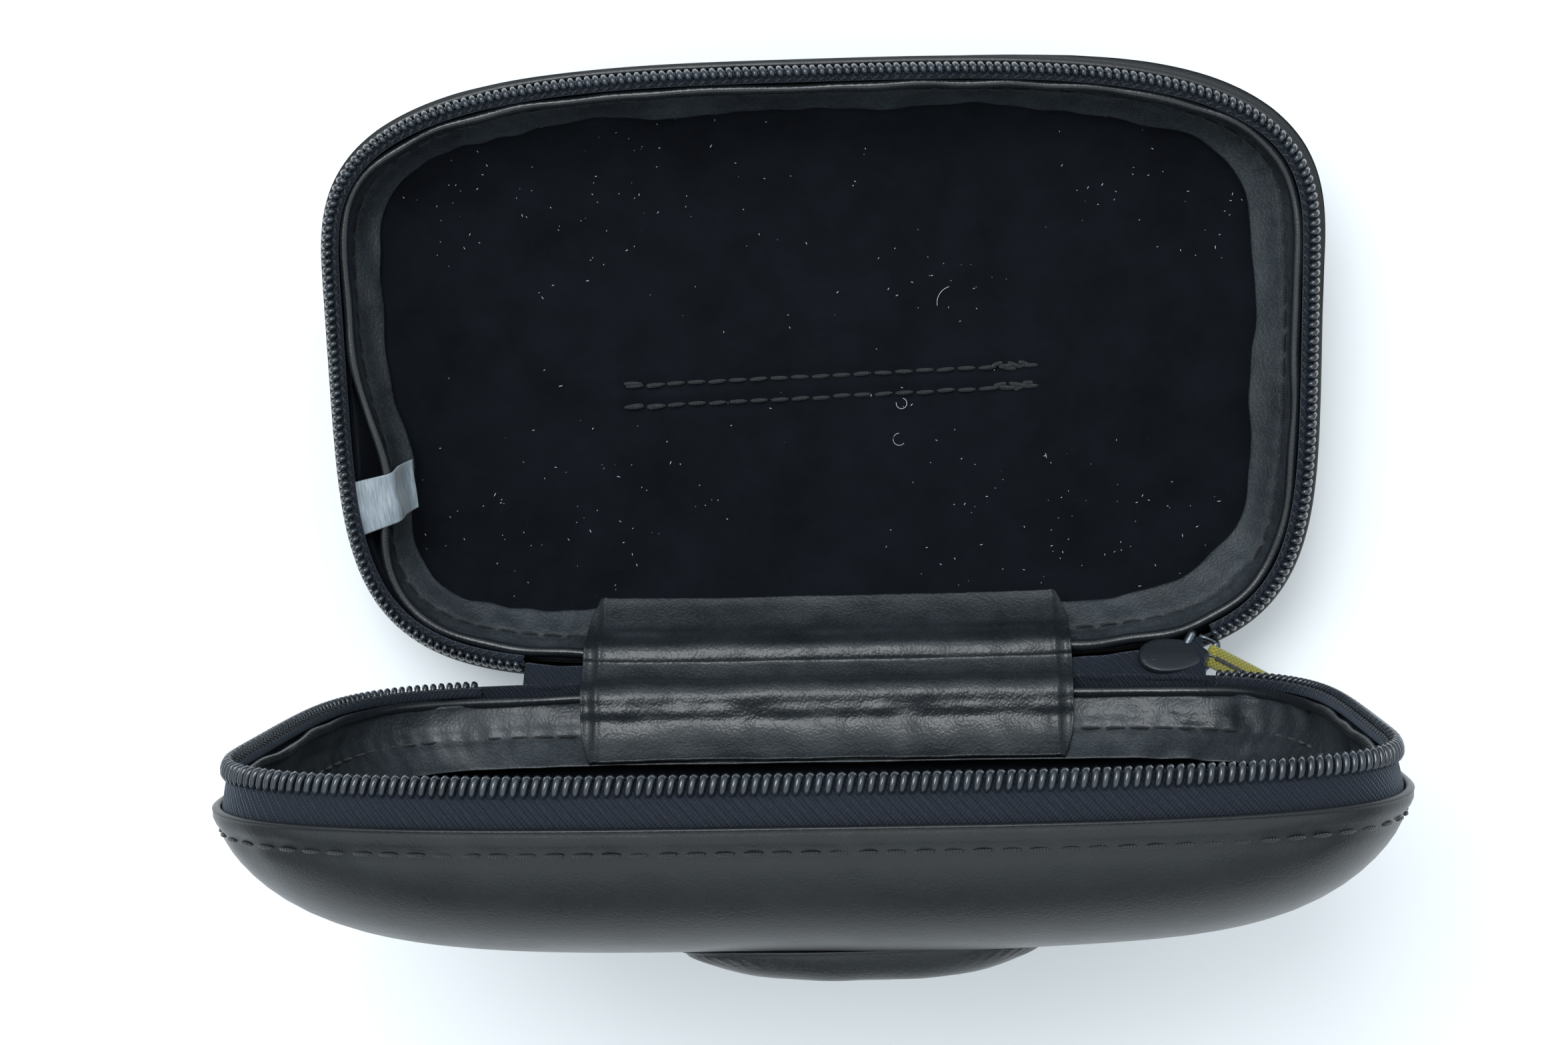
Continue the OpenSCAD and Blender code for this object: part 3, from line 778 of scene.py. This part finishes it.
def pad_stitches(half):
    """Two sewn rows in the velvet that hold the outer pad, with doubled, knotted ends."""
    rng = np.random.default_rng(61 if half is REAR else 62)
    starts, ends = [], []
    middle, reach = sewn_half(half)

    def stitch(row, x0, x1, spread):
        starts.append((x0, floor_rows(half, x0)[row] + rng.uniform(-spread, spread)))
        ends.append((x1, floor_rows(half, x1)[row] + rng.uniform(-spread, spread)))

    for row in (0, 1):
        for x in np.arange(middle - reach, middle + reach - 0.5, 3.9):
            stitch(row, x, x + 3.2, 0.12)
        for x in (middle - reach - 0.4, middle - reach + 3.9):
            stitch(row, x, x + 3.4, 0.5)
        for _ in range(6):
            x = middle + reach - 1.5 + rng.uniform(-6, 1)
            stitch(row, x, x + rng.uniform(1.6, 3.0), 0.8)

    def on_velvet(spots):
        flat = np.array([(x, y, 0) for x, y in spots])
        off = np.hypot(flat[:, 0] / HALF_W, (flat[:, 1] - DOME_CY) / (LOOP_H / 2))
        share = (1 - off ** DOME_P) ** (1 / DOME_Q)
        flat[:, 2] = -(FLANGE_D + share * (DOME_D - LINING_K[1] - FLANGE_D)) + 0.1
        return flat

    a, b = on_velvet(starts), on_velvet(ends)
    up = np.array([[0, 0, 1.0]])
    out = place(half, a + up) - place(half, a)
    obj = threads(half[0] + "_pad_thread", place(half, a), place(half, b), out, 0.36, 0.3)
    return dress(obj, THREAD, half[1], [half[0] + "_pad_stitches"])


def pad(half):
    """Foam-filled leather pad sewn to the outside of the dome: low edge, rounded flanks, flat crown."""
    mid_x, mid_y, length = PAD_AT[half[0]]
    count = 144
    angles = np.linspace(0, 2 * np.pi, count, endpoint=False)
    x, y = length / 2 * spow(np.cos(angles), 2 / 2.4), PAD_W / 2 * spow(np.sin(angles), 2 / 2.4)
    off = np.hypot((mid_x + x) / (HALF_W + 2), (mid_y + y - DOME_CY) / (LOOP_H / 2 + 2))
    fall = (DOME_D - FLANGE_D) * (1 - (1 - off ** DOME_P) ** (1 / DOME_Q))
    flat_r = 0.4

    def ring(r, height, follow):
        depth = DOME_D + 0.05 + height - fall * follow
        return np.stack([mid_x + x * r, mid_y + y * r, -depth], -1)

    rings = []
    for r in (0.02, .1, .2, .3, .4, .48, .56, .63, .7, .76, .81, .86, .9, .935, .96):
        rise = 1 - (max(0, r - flat_r) / (1 - flat_r)) ** 2
        p = ring(r, PAD_EDGE + (PAD_CROWN - PAD_EDGE) * rise, r ** 4)
        gather = 0.12 * np.sin(angles * 46) * math.exp(-((r - .93) / .06) ** 2) + 0.05 * ripple(p, 6, 71)
        p[..., 2] -= gather * (r > flat_r)
        rings.append(p)
    skirt = [(.975, .62), (.985, .45), (1.0, .42), (1.004, .3), (1.0, .12), (.99, .0), (.5, .0), (.02, .0)]
    for r, height in skirt:
        rings.append(ring(r, height, r ** 4))
    points = np.stack(rings, 1)
    u = run_lengths(np.stack([x, y], -1), True)
    obj = grid_object(half[0] + "_outer_pad", place(half, points), u, run_lengths(points[0]), loop_u=True)
    cap_ends(obj)
    dress(obj, PAD, half[1], [half[0] + "_pad"])
    return obj


def cap_ends(obj):
    """Closes the small open rings in the middle of a disc."""
    bm = bmesh.new()
    bm.from_mesh(obj.data)
    bmesh.ops.holes_fill(bm, edges=[e for e in bm.edges if e.is_boundary], sides=0)
    bmesh.ops.recalc_face_normals(bm, faces=bm.faces)
    bm.to_mesh(obj.data)
    bm.free()
    obj.data.polygons.foreach_set("use_smooth", [True] * len(obj.data.polygons))


def lint(half, specks, fibres):
    """Pale lint caught in the velvet: short specks and a few longer curled fibres."""
    rng = np.random.default_rng(81 if half is REAR else 82)
    a, b = [], []
    for _ in range(specks):
        r = math.sqrt(rng.uniform(0, 1)) * 0.93
        angle = rng.uniform(0, 360)
        p = at(np.array([angle]), LINING_K[1] + 0.02, 0, np.array([r]))[0]
        q = p + np.array([*rng.normal(0, 0.22, 2), 0])
        a.append(p)
        b.append(q)
    a, b = np.array(a), np.array(b)
    out = place(half, a + np.array([0, 0, 1.0])) - place(half, a)
    obj = threads(half[0] + "_lint", place(half, a), place(half, b), out, 0.055, 0.05)
    dress(obj, LINT, half[1])
    for f in range(fibres):
        x, y = rng.uniform(-60, 60), rng.uniform(25, 85)
        heading, curl = rng.uniform(0, 6.28), rng.uniform(-1.2, 1.2)
        points = []
        for i in range(12):
            points.append((x, y, -(DOME_D - LINING_K[1] - 0.35)))
            x += 0.42 * math.cos(heading)
            y += 0.42 * math.sin(heading)
            heading += curl * 0.35
        obj = tube(f"{half[0]}_fibre_{f + 1}", place(half, np.array(points)), 0.045, 5)
        dress(obj, LINT, half[1])


for half in (REAR, FRONT):
    cover(half)
    lining(half)
    facing(half)
    facing_stitches(half)
    welt(half)
    tape(half)
    tape_edge(half)
    coil(half)
    rim_stitches(half)
    pad_stitches(half)
    pad(half)
    dress(frame["nodes"][half[0] + "_shell"], BOARD)
lint(REAR, 420, 5)
lint(FRONT, 160, 1)


# ---------------------------------------------------------------- strips across the hinge line
def smooth_rows(rows, steps):
    """Catmull-Rom curve through the rows of points, with steps between each pair."""
    out = []
    n = rows.shape[1]
    for j in range(n - 1):
        p0, p1, p2, p3 = (rows[:, min(max(j + o, 0), n - 1)] for o in (-1, 0, 1, 2))
        for s in np.arange(steps) / steps:
            out.append(0.5 * (2 * p1 + (p2 - p0) * s + (2 * p0 - 5 * p1 + 4 * p2 - p3) * s ** 2
                              + (3 * p1 - p0 - 3 * p2 + p3) * s ** 3))
    out.append(rows[:, -1])
    return np.stack(out, 1)


def strip_object(name, face, thickness, wrinkle):
    """Closed strip: face is a grid of points in metres, the back lies thickness mm behind it."""
    along_u = np.gradient(face, axis=0)
    along_v = np.gradient(face, axis=1)
    normal = np.cross(along_u, along_v)
    normal /= np.linalg.norm(normal, axis=2)[..., None]
    face = face + normal * wrinkle[..., None] * MM
    back = face - normal * thickness * MM
    edge = face - normal * thickness * MM * 0.5
    rim = np.stack([edge[:, 0], edge[:, -1]], 1)
    points = np.concatenate([face, rim[:, 1:], back[:, ::-1], rim[:, :1]], 1)
    u = run_lengths(face[:, face.shape[1] // 2]) / MM
    v = run_lengths(points[len(points) // 2], True) / MM
    return grid_object(name, points, u, v, loop_v=True, caps=True), face, normal


def hinge_blend(obj):
    """Bakes the placement of a piece that spans the hinge, from the back half's side to the front half's,
    into its mesh.
    """
    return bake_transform(obj)


def fold_rows(x0, x1, count, rear, front, steps):
    """Smooth rows that follow (k, d) points from the back half over the fold to the front half."""
    t = t_at_x(np.linspace(x0, x1, count))
    rows = [place(REAR, at(t, k, d)) for k, d in rear] + [place(FRONT, at(t, k, d)) for k, d in front]
    return smooth_rows(np.stack(rows, 1), steps)


SEWN_ROWS = {"rear": 0.21, "front": 0.78}     # the patch's two sewn rows, as shares of its length
STITCH_LIFT = 0.1 * MM


def hinge_patch():
    """Leather patch over the hinge valley, with raised side edges, a soft ridge and sewing."""
    rear = [(11.7, 13.2), (10.9, 12.0), (9.6, 9.9), (8.3, 7.8), (6.9, 5.4), (5.9, 3.4), (4.9, 1.9),
            (3.3, 1.0), (1.9, 0.6)]
    front = [(1.9, 0.6), (3.3, 0.9), (4.9, 1.5), (6.2, 2.9), (6.7, 5.0), (7.4, 7.6), (8.3, 10.4), (9.4, 12.8),
             (10.0, 14.0)]
    face = fold_rows(-PATCH_W / 2, PATCH_W / 2, 240, rear, front, 7)
    nu, nv = face.shape[:2]
    half_mm = (face - HINGE) / MM
    x = half_mm[..., 0]
    v = np.linspace(0, 1, nv)[None, :] * np.ones((nu, 1))
    edge = np.exp(-((PATCH_W / 2 - 1.3 - np.abs(x)) / 1.1) ** 2)
    wrinkle = 0.55 * edge - 0.30 * np.exp(-((PATCH_W / 2 - 3.0 - np.abs(x)) / 0.5) ** 2)
    wrinkle += 0.12 * ripple(half_mm, 9, 91) + 0.05 * ripple(half_mm, 2.6, 92)
    along = np.stack([x, 0 * x, 0 * x], -1)
    for row, seed in ((SEWN_ROWS["rear"], 98), (SEWN_ROWS["front"], 99)):
        wrinkle -= (0.16 + 0.12 * ripple(along, 5, seed)) * np.exp(-((v - row) / 0.026) ** 2)
    wrinkle += (0.30 + 0.1 * ripple(along, 26, 93)) * np.exp(-((v - 0.47) / 0.08) ** 2)
    wrinkle -= 0.2 * np.exp(-((v - 0.35) / 0.06) ** 2)
    obj, face, normal = strip_object("hinge_patch", face, 0.7, wrinkle)
    dress(obj, PATCH, None, ["rear_hinge_patch", "front_hinge_patch"])
    hinge_blend(obj)
    for half in (REAR, FRONT):
        patch_stitches(half, face, normal)
        patch_zigzag(half, face, normal)


def patch_stitches(half, face, normal):
    """One of the two sewn rows across the patch."""
    nu, nv = face.shape[:2]
    j = int(SEWN_ROWS[half[0]] * (nv - 1))
    picks = np.arange(8, nu - 12, 11)
    a = face[picks, j] + normal[picks, j] * STITCH_LIFT
    b = face[picks + 8, j] + normal[picks + 8, j] * STITCH_LIFT
    dress(threads(half[0] + "_patch_stitches", a, b, normal[picks, j], 0.42, 0.32), THREAD, half[1])


def patch_zigzag(half, face, normal):
    """Slanting stitches along the patch's two side edges."""
    nu, nv = face.shape[:2]
    rows = np.arange(8, nv // 2 - 14, 4) if half is REAR else np.arange(nv // 2 + 16, nv - 6, 4)
    columns = (3, nu - 9)
    ups = np.concatenate([normal[column, rows] for column in columns])
    starts = np.concatenate([face[column, rows] for column in columns]) + ups * STITCH_LIFT
    ends = np.concatenate([face[column + 4, rows + 2] for column in columns]) + ups * STITCH_LIFT
    dress(threads(half[0] + "_edge_zigzag", starts, ends, ups, 0.34, 0.26), THREAD, half[1])


def spine():
    """Outer leather strip round the back of the hinge."""
    path = [(0.15, 7.3), (0.05, 6.0), (0.0, 4.5), (0.0, 3.0), (0.05, 1.6), (0.25, 0.5)]
    face = fold_rows(-SPINE_W / 2, SPINE_W / 2, 160, path, path[::-1], 5)[:, ::-1]
    obj, _, _ = strip_object("outer_spine", face, 0.8, 0.10 * ripple((face - HINGE) / MM, 6, 95))
    dress(obj, SPINE, None, ["rear_spine", "front_spine"])
    hinge_blend(obj)


def zip_web(name, x0, x1):
    """Woven tape that closes the gap between the halves beside the patch."""
    path = [(1.3, 6.2), (1.25, 4.6), (1.2, 3.2), (1.15, 1.9), (1.0, .9)]
    face = fold_rows(x0, x1, 60, path, path[::-1], 5)
    obj, _, _ = strip_object(name, face, 0.5, 0.12 * ripple((face - HINGE) / MM, 4, 96))
    dress(obj, TAPE, None)
    return hinge_blend(obj)


hinge_patch()
spine()
zip_web("zip_web_right", 42, 67)
zip_web("zip_web_left", -54.5, -42)


# ---------------------------------------------------------------- ribbon tab
def side_tab():
    """Satin ribbon folded over the bead at the back half's left side."""
    path = [(2.4, 2.9), (3.3, 2.3), (5.0, 1.9), (7.2, 1.9), (9.2, 2.1), (10.1, 2.7), (10.5, 4.0), (11.0, 6.0),
            (11.9, 8.4), (12.3, 9.6)]
    y_mid, width, count = 32, 9.8, 40
    rows = []
    for i, (k, d) in enumerate(path):
        y = y_mid + np.linspace(-0.5, 0.5, count) * width + 0.35 * i - 1.2
        t = 180 + np.degrees(np.arcsin(np.clip(1 - (y - AXIS_GAP) / HINGE_B, 0, 1) ** (HINGE_N / 2)))
        rows.append(at(t, k, d))
    face = place(REAR, smooth_rows(np.stack(rows, 1), 6))
    obj, _, _ = strip_object("ribbon_tab", face, 0.35, 0.10 * ripple((face - HINGE) / MM, 3.4, 97))
    dress(obj, SATIN, "rear_half", ["side_tab"])


side_tab()


# ---------------------------------------------------------------- zip slider and its pull
def slider_row(p):
    """Slider-frame millimetres, square to the two rows of teeth, to row-frame metres."""
    return HINGE + MM * turn_x(np.asarray(p, float), SLIDER_TURN)


def pull_turn(drop):
    return Matrix.Rotation(math.radians(PULL_YAW), 3, "Z") @ Matrix.Rotation(math.radians(drop), 3, "Y")


def pull_row(p, drop=PULL_DROP):
    """Pull-frame millimetres, with x along the strap, to row-frame metres."""
    return PULL_AT + MM * (np.asarray(p, float) @ np.array(pull_turn(drop)).T)


def leaf(angles):
    """Outline of the slider's plates: a leaf with its tip towards the pull."""
    c, s = np.cos(angles), np.sin(angles)
    x = SLIDER_L / 2 * spow(c, 2 / 2.3)
    y = SLIDER_W / 2 * spow(s, 2 / 2.1) * (1 - 0.22 * c - 0.10 * c * c)
    return x, y


PLATE_SHIFT = 0.9     # the plates lie this far towards the pull and towards the back half


def slider():
    """Zip slider: two flat plates joined by a post, with a bail, pin and root for the pull."""
    parts = []
    for name, z, side in (("inner", 1.8, 1), ("outer", -1.4, -1)):
        top = [(0.02, .86), (.3, .87), (.55, .89), (.7, .91), (.8, .92), (.88, .92), (.93, .88), (.965, .78),
               (.99, .6), (1.0, .35), (1.0, 0), (.995, -.4), (.975, -.7), (.93, -.72), (.90, -.5), (.88, 0),
               (.5, 0), (.02, 0)]
        profile = [(r, z + side * h) for r, h in top]

        def to_row(p):
            p = p.copy()
            p[..., 0] += SLIDER_X + PLATE_SHIFT
            p[..., 1] += PLATE_SHIFT
            p[..., 2] += side * 0.25 * np.cos(p[..., 1] * 0.55) * 0.8
            return slider_row(p)

        obj = disc("slider_" + name + "_plate", leaf, profile, to_row, 96)
        cap_ends(obj)
        parts.append(obj)
    angles = np.linspace(0, np.pi, 15)
    post = [(SLIDER_X - SLIDER_L / 2 + 2.4, 0, z) for z in np.linspace(-2.0, 2.4, 7)]
    parts.append(tube("slider_post", slider_row(post), [1.5, 1.15, .95, .9, .95, 1.15, 1.5], 16))
    bail = [(-3.4, -2.2, 0), (-2.2, -2.4, 0), (-1.0, -2.5, 0), (0, -2.5, 0)]
    bail += [(0.7 * math.sin(a), -2.5 * math.cos(a), 0) for a in angles[1:-1]]
    bail += [(0, 2.5, 0), (-1.0, 2.5, 0), (-2.2, 2.4, 0), (-3.4, 2.2, 0)]
    parts.append(tube("slider_bail", pull_row(bail, 0), 0.5, 12))
    pin = [(0, y, 0) for y in np.linspace(-2.9, 2.9, 9)]
    parts.append(tube("slider_pin", pull_row(pin, 0), [.5, .68, .7, .7, .7, .7, .7, .68, .5], 16))
    root = [(-4.6, y, -.3) for y in np.linspace(-2.7, 2.7, 9)]
    parts.append(tube("slider_root", pull_row(root, 0), [.5, .8, .9, .95, .95, .95, .9, .8, .5], 16))
    for obj in parts:
        dress(obj, METAL, "slider")
    parts[0].data.materials[0] = ENAMEL
    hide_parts("slider_body")


def pull():
    """The pull: a ring on the slider's pin, a flat tongue, and the woven strap with its core line."""
    ring = [(1.0 * math.cos(a), 0, 1.0 * math.sin(a)) for a in np.linspace(0, 2 * np.pi, 24, endpoint=False)]
    eye = tube("link_eye", pull_row(ring), 0.3, 10, True)

    def tongue(angles):
        return 2.3 * spow(np.cos(angles), 2 / 5), 1.25 * spow(np.sin(angles), 2 / 5)

    profile = [(0.02, .4), (.8, .4), (.93, .36), (1, .2), (1, -.2), (.93, -.36), (.8, -.4), (.02, -.4)]
    bar = disc("link_tongue", tongue, profile, lambda p: pull_row(p + np.array([2.75, 0, 0])), 48)
    cap_ends(bar)
    for obj in (eye, bar):
        dress(obj, METAL, "puller")
    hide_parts("pull_link")
    begin = -0.9
    length = STRAP_L - begin
    stations = np.linspace(0, 1, 60)
    angles = np.linspace(0, 2 * np.pi, 28, endpoint=False)
    rows = []
    for f in stations:
        end = min(f, 1 - f) * length
        full = math.sqrt(max(0.0, 1 - max(0.0, 1 - end / 1.0) ** 2))
        thick = (0.35 + 0.75 * full) * (1 + 0.06 * math.sin(f * 9))
        wide = STRAP_W / 2 * (0.90 + 0.10 * full)
        y, z = wide * spow(np.cos(angles), 2 / 5), thick * spow(np.sin(angles), 2 / 3.2)
        x = np.full_like(y, begin + f * length)
        rows.append(np.stack([x, y, z + 0.1 + 0.25 * math.sin(f * 3.1)], -1))
    points = np.stack(rows, 0)
    strap = grid_object("woven_strap", pull_row(points), stations * length, run_lengths(points[5], True),
                        loop_v=True, caps=True)
    dress(strap, STRAP, "puller", ["pull_strap"])
    xs = np.linspace(0.2, STRAP_L - 1.4, 40)
    line = [(x, 0, 1.14 + 0.25 * math.sin((x - begin) / length * 3.1)) for x in xs]
    core = tube("strap_core", pull_row(line), 0.42 + 0.05 * np.sin(np.arange(40) * 1.6), 10)
    dress(core, CORE, "puller", ["pull_core"])


slider()
pull()

# ---------------------------------------------------------------- camera, floor and light
scene = bpy.context.scene
scene.view_settings.view_transform = "Standard"
camera = bpy.data.objects.new("camera", bpy.data.cameras.new("camera"))
scene.collection.objects.link(camera)
scene.camera = camera
camera.data.lens = 60.9
camera.data.sensor_width = 36
camera.location = Vector(HINGE) + Vector((0.0196, 0.0205, 0.4763))
forward = Vector((-0.0559, 0.0141, -0.9983)).normalized()
upward = Vector((0.0209, 0.9997, 0.0130))
sideways = forward.cross(upward).normalized()
upward = sideways.cross(forward)
camera.rotation_euler = Matrix((sideways, upward, -forward)).transposed().to_euler()

TABLE_REACH = 3
corners = ((-1, -1), (1, -1), (1, 1), (-1, 1))
floor_points = np.array([[TABLE_REACH * x, TABLE_REACH * y, cad_box[0].z] for x, y in corners])
floor = mesh_object("table", floor_points, [[0, 1, 2, 3]], [(0, 0), (1, 0), (1, 1), (0, 1)])
floor.data.materials.append(floor_material())

world = bpy.data.worlds.new("studio")
scene.world = world
world.use_nodes = True
sky = next(n for n in world.node_tree.nodes if n.type == "BACKGROUND")
sky.inputs["Strength"].default_value = 1.0
heading = world.node_tree.nodes.new("ShaderNodeTexCoord")
height = world.node_tree.nodes.new("ShaderNodeSeparateXYZ")
shade = world.node_tree.nodes.new("ShaderNodeValToRGB")
# the ramp's own white stop stays beside the last one, so only the very top of the sky nears that level
for stop, level in ((0.0, 0.10), (0.25, 0.24), (0.55, 1.35), (1.0, 3.2)):
    point = shade.color_ramp.elements[0] if stop == 0 else shade.color_ramp.elements.new(stop)
    if stop == 1.0:
        point = shade.color_ramp.elements[-1]
    point.position = stop
    point.color = (0.83 * level, 0.94 * level, 1.0 * level, 1)
world.node_tree.links.new(heading.outputs["Generated"], height.inputs[0])
world.node_tree.links.new(height.outputs[2], shade.inputs[0])
world.node_tree.links.new(shade.outputs[0], sky.inputs["Color"])


def soft_light(name, where, size, watts, colour):
    light = bpy.data.lights.new(name, "AREA")
    light.shape = "RECTANGLE"
    light.size, light.size_y = size
    light.energy = watts
    light.color = colour
    lamp = bpy.data.objects.new(name, light)
    scene.collection.objects.link(lamp)
    lamp.location = where
    lamp.rotation_euler = (-lamp.location).to_track_quat("-Z", "Y").to_euler()


soft_light("overhead", Vector((-0.2, 0.35, 1.2)), (0.7, 0.5), 9, (0.93, 0.97, 1.0))
